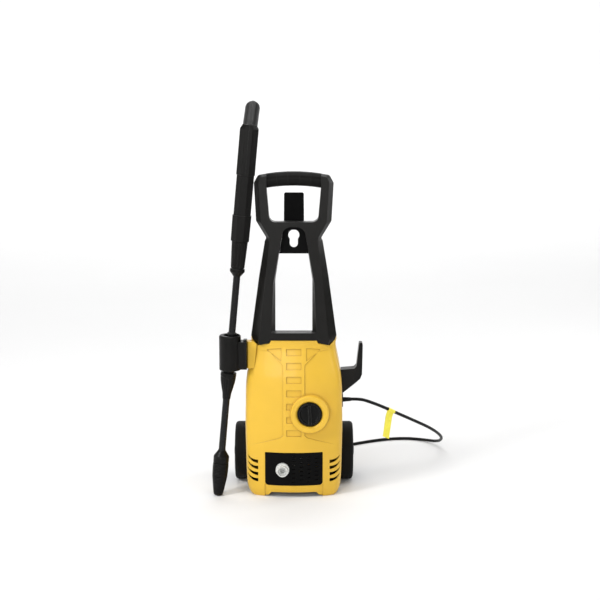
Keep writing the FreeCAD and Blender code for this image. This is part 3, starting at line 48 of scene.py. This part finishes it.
# ---- camera ---------------------------------------------------------------------------------------
LENS, CAMERA_PITCH = 81.34, 10.412              # millimetres on a 36 mm sensor; degrees below level
CAMERA_AT = (15, -3300, 1085)
camera_data = bpy.data.cameras.new("camera")
camera_data.sensor_width = 36
camera_data.lens = LENS
camera = bpy.data.objects.new("camera", camera_data)
camera.location = at(*CAMERA_AT)
camera.rotation_euler = (math.radians(90 - CAMERA_PITCH), 0, 0)
bpy.context.scene.collection.objects.link(camera)
bpy.context.scene.camera = camera

# ---- mains cord -----------------------------------------------------------------------------------
CORD_RADIUS = 4.0
COIL_X, COIL_Y = 0.0, 215.0
COIL_WIDE, COIL_NARROW, COIL_PITCH = 58, 34, 8      # outer and inner radius, and the step from turn to turn
COIL_START = 103                                    # where each turn starts, in degrees
LAY_HEIGHT = 4.2                                    # the cord's middle over the floor
LAYERS, TURNS, STEPS = 4, 4, 16                     # layers, turns in each and points in each turn
STEP_RUN = 6                                        # points over which a turn steps in, out or up
PLUG_REACH, PLUG_HEIGHT, PLUG_ANGLE = 44, 50.6, 270  # where the plug's cord end lies about the coil's middle
CLIMB_STEPS, CLIMB_RUN = 10, 8                      # points up to the plug, and those over which the cord rises
ROUTE = [(142.5, 5, 224.5), (166.5, 10, 224), (192, 24, 212.5), (224, 45, 195), (272, 88, 163), (318, 132, 132),
         (360, 180, 101), (391, 236, 68), (406, 296, 37), (399, 350, 13), (370, 394, 4.6), (322, 413, 4.2),
         (268, 407, 4.2), (216, 385, 4.2), (166, 356, 4.2), (115, 321, 4.2), (62, 292, 4.2), (9, 273.5, 4.2)]


def eased(share):
    """A share of the way from 0 to 1 that starts and stops gently."""
    share = min(1.0, max(0.0, share))
    return share * share * (3 - 2 * share)


def on_coil(radius, angle, z):
    """A point at that radius and angle about the coil's middle, at that height."""
    return COIL_X + radius * math.cos(angle), COIL_Y + radius * math.sin(angle), z


def coil_points():
    """Flat layers of turns, each turn stepping in, out or up over its last third, then a climb to the plug."""
    points = []
    for layer in range(LAYERS):
        inwards = layer % 2 == 0
        for turn in range(TURNS):
            start = COIL_WIDE - COIL_PITCH * turn if inwards else COIL_NARROW + COIL_PITCH * turn
            for i in range(STEPS):
                angle = math.radians(COIL_START) + 2 * math.pi * i / STEPS
                step = COIL_PITCH * eased((i - STEPS + STEP_RUN) / STEP_RUN)
                radius, z = start, LAY_HEIGHT + COIL_PITCH * layer
                if turn < TURNS - 1:
                    radius += -step if inwards else step
                elif layer < LAYERS - 1:
                    z += step
                elif i > 1:                         # the last turn ends here and the climb goes on
                    break
                points.append(on_coil(radius, angle, z))
    return points + climb_points()


def climb_points():
    """From the end of the top turn up and in to the plug, on the side of the coil nearest the machine."""
    points = []
    first = COIL_START + 360 / STEPS
    top = LAY_HEIGHT + COIL_PITCH * (LAYERS - 1)
    for i in range(1, CLIMB_STEPS + 1):
        angle = math.radians(first + (PLUG_ANGLE - first) * i / CLIMB_STEPS)
        share = i / CLIMB_RUN
        radius = COIL_WIDE - (COIL_WIDE - PLUG_REACH) * eased(share - 0.25)
        points.append(on_coil(radius, angle, top + (PLUG_HEIGHT - top) * eased(share)))
    return points + [(COIL_X + 4, COIL_Y - PLUG_REACH, PLUG_HEIGHT)]


def cord_curve():
    """The mains cord from the grommet to the plug, as one round smooth curve."""
    line = [at(*p) for p in ROUTE + coil_points()]
    curve = bpy.data.curves.new("mains_cord", "CURVE")
    curve.dimensions = "3D"
    curve.bevel_depth = 1.0
    curve.bevel_resolution = 6
    curve.resolution_u = 8
    curve.use_fill_caps = True
    spline = curve.splines.new("NURBS")
    spline.points.add(len(line) - 1)
    for point, place in zip(spline.points, line):
        point.co = (*place, 1)
        point.radius = CORD_RADIUS / 1000
    spline.order_u = 3
    spline.use_endpoint_u = True
    cord = bpy.data.objects.new("mains_cord", curve)
    bpy.context.scene.collection.objects.link(cord)
    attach(cord, "machine")
    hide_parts("cord_tube", "cord_coil")
    return cord


cord = cord_curve()


# ---- materials ------------------------------------------------------------------------------------
class Look:
    """A material's node tree, with the object's own coordinates in metres as its place."""

    def __init__(self, name, color, rough, metallic=0.0, specular=0.5, coat=0.0):
        self.material = bpy.data.materials.new(name)
        self.material.use_nodes = True
        self.material.diffuse_color = (*color, 1)
        self.tree = self.material.node_tree
        self.shader = self.tree.nodes["Principled BSDF"]
        self.place = self.node("ShaderNodeTexCoord").outputs["Object"]
        self.set("Base Color", (*color, 1))
        self.set("Roughness", rough)
        self.set("Metallic", metallic)
        self.set("Specular IOR Level", specular)
        self.set("Coat Weight", coat)
        self.color, self.rough, self.normal = color, rough, None

    def set(self, name, value):
        """A value that is the same all over goes on the shader's own socket."""
        self.shader.inputs[name].default_value = value

    def node(self, kind, **settings):
        made = self.tree.nodes.new(kind)
        for key, value in settings.items():
            setattr(made, key, value)
        return made

    def link(self, source, target):
        self.tree.links.new(source, target)

    def noise(self, scale, detail=2.0, rough=0.5, stretch=None):
        """Noise in the object's own space, drawn out along the axes where stretch is small."""
        made = self.node("ShaderNodeTexNoise")
        place = self.place
        if stretch:
            mapping = self.node("ShaderNodeMapping")
            mapping.inputs["Scale"].default_value = stretch
            self.link(place, mapping.inputs["Vector"])
            place = mapping.outputs["Vector"]
        self.link(place, made.inputs["Vector"])
        made.inputs["Scale"].default_value = scale
        made.inputs["Detail"].default_value = detail
        made.inputs["Roughness"].default_value = rough
        return made.outputs["Fac"]

    def spread(self, source, low, high, from_low=0.3, from_high=0.7):
        """A source's values from from_low to from_high, laid out from low to high."""
        made = self.node("ShaderNodeMapRange")
        self.link(source, made.inputs["Value"])
        for name, value in (("From Min", from_low), ("From Max", from_high), ("To Min", low), ("To Max", high)):
            made.inputs[name].default_value = value
        return made.outputs["Result"]

    def mottled(self, scale, amount):
        """Colour that wanders a little over the surface."""
        mix = self.node("ShaderNodeMix", data_type="RGBA")
        dark = [c * (1 - amount) for c in self.color]
        light = [min(1.0, c * (1 + amount)) for c in self.color]
        mix.inputs["A"].default_value = (*dark, 1)
        mix.inputs["B"].default_value = (*light, 1)
        self.link(self.spread(self.noise(scale, 4), 0, 1), mix.inputs["Factor"])
        self.base = mix.outputs["Result"]
        self.link(self.base, self.shader.inputs["Base Color"])
        return self

    def uneven(self, scale, amount):
        """Roughness that varies, as where a surface has been handled."""
        low, high = self.rough - amount, self.rough + amount
        self.link(self.spread(self.noise(scale, 5), low, high), self.shader.inputs["Roughness"])
        return self

    def bump(self, height, depth, strength=1.0):
        made = self.node("ShaderNodeBump")
        made.inputs["Distance"].default_value = depth
        made.inputs["Strength"].default_value = strength
        self.link(height, made.inputs["Height"])
        if self.normal:
            self.link(self.normal, made.inputs["Normal"])
        self.normal = made.outputs["Normal"]
        self.link(self.normal, self.shader.inputs["Normal"])
        return self

    def softened(self, radius):
        """Edges catch the light as if they were rounded."""
        made = self.node("ShaderNodeBevel", samples=4)
        made.inputs["Radius"].default_value = radius
        self.normal = made.outputs["Normal"]
        self.link(self.normal, self.shader.inputs["Normal"])
        return self

    def painted_edge_highlight(self, radius, color, amount=0.5):
        """Painted highlight: edges are made lighter, standing in for the light they catch."""
        bevel = self.node("ShaderNodeBevel", samples=4)
        bevel.inputs["Radius"].default_value = radius
        true = self.node("ShaderNodeNewGeometry").outputs["Normal"]
        dot = self.node("ShaderNodeVectorMath", operation="DOT_PRODUCT")
        self.link(bevel.outputs["Normal"], dot.inputs[0])
        self.link(true, dot.inputs[1])
        edge = self.spread(dot.outputs["Value"], amount, 0, 0.75, 0.99)
        mix = self.node("ShaderNodeMix", data_type="RGBA")
        self.link(edge, mix.inputs["Factor"])
        self.link(self.base, mix.inputs["A"])
        mix.inputs["B"].default_value = (*color, 1)
        self.base = mix.outputs["Result"]
        self.link(self.base, self.shader.inputs["Base Color"])
        return self

    def painted_crevice_shade(self, reach, color):
        """Painted shade: inner corners are darkened where the ambient occlusion node finds them enclosed,
        standing in for the shade that falls there.
        """
        near = self.node("ShaderNodeAmbientOcclusion", samples=8, only_local=True)
        near.inputs["Distance"].default_value = reach
        mix = self.node("ShaderNodeMix", data_type="RGBA")
        self.link(self.spread(near.outputs["AO"], 0.9, 0, 0.5, 0.97), mix.inputs["Factor"])
        self.link(self.base, mix.inputs["A"])
        mix.inputs["B"].default_value = (*color, 1)
        self.base = mix.outputs["Result"]
        self.link(self.base, self.shader.inputs["Base Color"])
        return self


def moulded(name, color, rough, grain=0.00004, mottle=0.04, edge=0.0006, edge_highlight=None, coat=0.0, specular=0.3,
            crevice_shade=None):
    """Moulded plastic: fine grain, soft edges, and optional colours for a painted highlight on edges and for
    painted shade in inner corners.
    """
    look = Look(name, color, rough, coat=coat, specular=specular).softened(edge).mottled(22, mottle)
    look.uneven(55, 0.06)
    if edge_highlight:
        # Painted highlight: edges are lightened with this colour in place of the light they catch.
        look.painted_edge_highlight(0.0012, edge_highlight, 0.35)
    if crevice_shade:
        # Painted shade: inner corners are darkened with this colour in place of the shade that falls there.
        look.painted_crevice_shade(0.009, crevice_shade)
    return look.bump(look.noise(1400, 2), grain, 0.6)


# Painted light: the lighter edge colour in each moulded look below is a painted highlight on its edges; the
# yellow's darker corner colour is painted shade in its inner corners.
yellow = moulded("casing_yellow", (0.68, 0.415, 0.037), 0.36, 0.00003, 0.02, 0.0009, edge_highlight=(0.84, 0.6, 0.13),
                 coat=0.06, specular=0.3, crevice_shade=(0.47, 0.27, 0.025))
black = moulded("black_plastic", (0.0058, 0.0054, 0.0047), 0.34, 0.00006, 0.12, 0.0008, (0.09, 0.09, 0.086),
                specular=0.17)
gun_black = moulded("gun_plastic", (0.0045, 0.0042, 0.0038), 0.34, 0.00005, 0.12, 0.0008, (0.07, 0.07, 0.067),
                    specular=0.13)
panel_black = moulded("panel_plastic", (0.003, 0.003, 0.003), 0.5, 0.00004, 0.1, 0.0003, specular=0.05)
knob_black = moulded("knob_plastic", (0.005, 0.005, 0.0048), 0.36, 0.00004, 0.1, 0.0009, (0.3, 0.3, 0.29),
                     specular=0.1)
rubber = moulded("grip_rubber", (0.005, 0.0047, 0.0042), 0.4, 0.00008, 0.15, 0.0008, (0.07, 0.07, 0.067),
                 specular=0.1)

tyre = moulded("tyre_black", (0.005, 0.005, 0.0048), 0.6, 0.00006, 0.2, 0.0008, (0.04, 0.04, 0.038), specular=0.1)
ribs = tyre.node("ShaderNodeTexWave", wave_type="BANDS", bands_direction="X")
ribs.inputs["Scale"].default_value = 75
ribs.inputs["Distortion"].default_value = 0
tyre.link(tyre.place, ribs.inputs["Vector"])
tyre.bump(tyre.spread(ribs.outputs["Fac"], 0, 1, 0.2, 0.5), 0.0004, 0.5)

lacquer = Look("black_lacquer", (0.005, 0.005, 0.005), 0.3, specular=0.2, coat=0.05).mottled(60, 0.15)
# Painted highlight on the lance tubes' edges.
lacquer.uneven(120, 0.07).painted_edge_highlight(0.0008, (0.12, 0.12, 0.12), 0.3)
lacquer.bump(lacquer.noise(900, 3, 0.6), 0.00002, 0.5)

steel = Look("steel", (0.56, 0.56, 0.57), 0.34, metallic=1.0).mottled(90, 0.1).uneven(200, 0.1)
steel.bump(steel.noise(260, 3, 0.6, (1, 1, 18)), 0.00003, 0.6)
alloy = Look("motor_alloy", (0.6, 0.61, 0.62), 0.48, metallic=1.0).mottled(70, 0.12).uneven(160, 0.1)
alloy.bump(alloy.noise(700, 4, 0.6), 0.00012, 0.6)
brass = Look("copper_brass", (0.72, 0.47, 0.2), 0.32, metallic=1.0).mottled(80, 0.12).uneven(180, 0.1)
brass.bump(brass.noise(400, 3, 0.5, (1, 12, 1)), 0.00003, 0.6)

clear = Look("inlet_clear", (0.72, 0.73, 0.7), 0.3, specular=0.5).mottled(120, 0.08).uneven(150, 0.08)
clear.set("Subsurface Weight", 0.4)
clear.set("Subsurface Radius", (0.004, 0.004, 0.004))
clear.set("Transmission Weight", 0.15)
clear.bump(clear.noise(600, 2), 0.00004, 0.5)
strainer = Look("strainer", (0.6, 0.61, 0.59), 0.5).mottled(300, 0.3).uneven(200, 0.1)
mesh = strainer.node("ShaderNodeTexBrick", offset=0.0)
mesh.inputs["Scale"].default_value = 900
strainer.link(strainer.place, mesh.inputs["Vector"])
strainer.bump(mesh.outputs["Fac"], 0.0002, 0.7)

sheath = Look("cord_sheath", (0.005, 0.005, 0.005), 0.42, specular=0.12).mottled(140, 0.2).uneven(180, 0.08)
sheath.bump(sheath.noise(1200, 2), 0.00005, 0.5)
film = Look("tag_film", (0.88, 0.78, 0.05), 0.35, coat=0.1).mottled(70, 0.05).uneven(110, 0.1)
film.bump(film.noise(45, 3, 0.6), 0.0009, 0.5)

LOOKS = {
    yellow: ("front_casing", "rear_casing"),
    panel_black: ("lower_panel", "base_tray", "hose_hook", "keyhole_plate"),
    knob_black: ("switch_knob",),
    rubber: ("handle_grip",),
    tyre: ("tyre_left", "tyre_right"),
    gun_black: ("gun_barrel_cover", "gun_shell_left", "gun_shell_right", "lance_nut", "lance_coupling",
                "lance_socket", "nozzle_sleeve", "nozzle_body", "trigger", "trigger_lock", "lance_holder",
                "valve_body", "hose_nipple"),
    lacquer: ("lance_tube_upper", "lance_tube_lower"),
    steel: ("screws", "gun_screw", "stub_axles", "axle_washers", "rotor", "stator", "motor_bearings", "pistons",
            "piston_springs", "valve_pin", "motor_can"),
    alloy: ("end_shields", "pump_housing", "pump_head", "wobble_plate", "capacitor"),
    brass: ("pressure_outlet", "pressure_pipe"),
    clear: ("water_inlet",),
    strainer: ("inlet_strainer",),
    sheath: ("plug", "strain_relief"),
    film: ("cord_tag",),
}


def painted(obj, look):
    """Gives an object that look and no other."""
    obj.data.materials.clear()
    obj.data.materials.append(look.material)


named = {name: look for look, names in LOOKS.items() for name in names}
for name, obj in NODES.items():
    painted(obj, named.get(name, black))
painted(cord, sheath)


# ---- floor, light and backdrop --------------------------------------------------------------------
def floor():
    """A pale floor that curves up into a backdrop."""
    half, front, back, bend, high, steps = 14.0, -9.0, 7.0, 3.0, 12.0, 12
    section = [(front, 0.0)]
    for i in range(steps + 1):
        turn = math.pi / 2 * i / steps
        section.append((back + bend * math.sin(turn), bend - bend * math.cos(turn)))
    section.append((back + bend, high))
    points = [(x, y, z) for y, z in section for x in (-half, half)]
    faces = [(2 * i, 2 * i + 1, 2 * i + 3, 2 * i + 2) for i in range(len(section) - 1)]
    mesh = bpy.data.meshes.new("floor")
    mesh.from_pydata(points, [], faces)
    mesh.shade_smooth()
    obj = bpy.data.objects.new("floor", mesh)
    bpy.context.scene.collection.objects.link(obj)
    look = Look("floor", (0.74, 0.74, 0.74), 0.7, specular=0.2).mottled(0.8, 0.01)
    painted(obj, look)


def soft_light(name, place, aim, size, power):
    """A rectangular light at a place, turned to what it aims at."""
    data = bpy.data.lights.new(name, "AREA")
    data.shape = "RECTANGLE"
    data.size, data.size_y = size
    data.energy = power
    obj = bpy.data.objects.new(name, data)
    obj.location = place
    obj.rotation_euler = (Vector(aim) - Vector(place)).to_track_quat("-Z", "Y").to_euler()
    bpy.context.scene.collection.objects.link(obj)


floor()
soft_light("key", (-2.3, -1.9, 2.7), (0, 0, 0.35), (0.7, 0.7), 66)
soft_light("front", (-0.9, -4.2, 1.5), (0, 0, 0.45), (2.2, 1.6), 62)
soft_light("fill", (2.8, -3.0, 1.4), (0, 0, 0.4), (1.4, 1.4), 18)
soft_light("top", (0, -0.9, 3.4), (0, 0, 0.2), (2.2, 1.2), 38)
soft_light("left_edge", (-2.6, -0.5, 1.3), (0, 0, 0.5), (0.5, 2.2), 16)
soft_light("right_edge", (2.4, 0.9, 1.4), (0, 0, 0.5), (0.8, 2.2), 24)
soft_light("backdrop", (0, 4.5, 8.5), (0, 10, 3.0), (9.0, 2.0), 950)

world = bpy.data.worlds.new("world")
bpy.context.scene.world = world
world.use_nodes = True
background = world.node_tree.nodes["Background"]
background.inputs["Color"].default_value = (1, 1, 1, 1)
background.inputs["Strength"].default_value = 0.3
bpy.context.scene.view_settings.view_transform = "Standard"

bpy.context.view_layer.update()
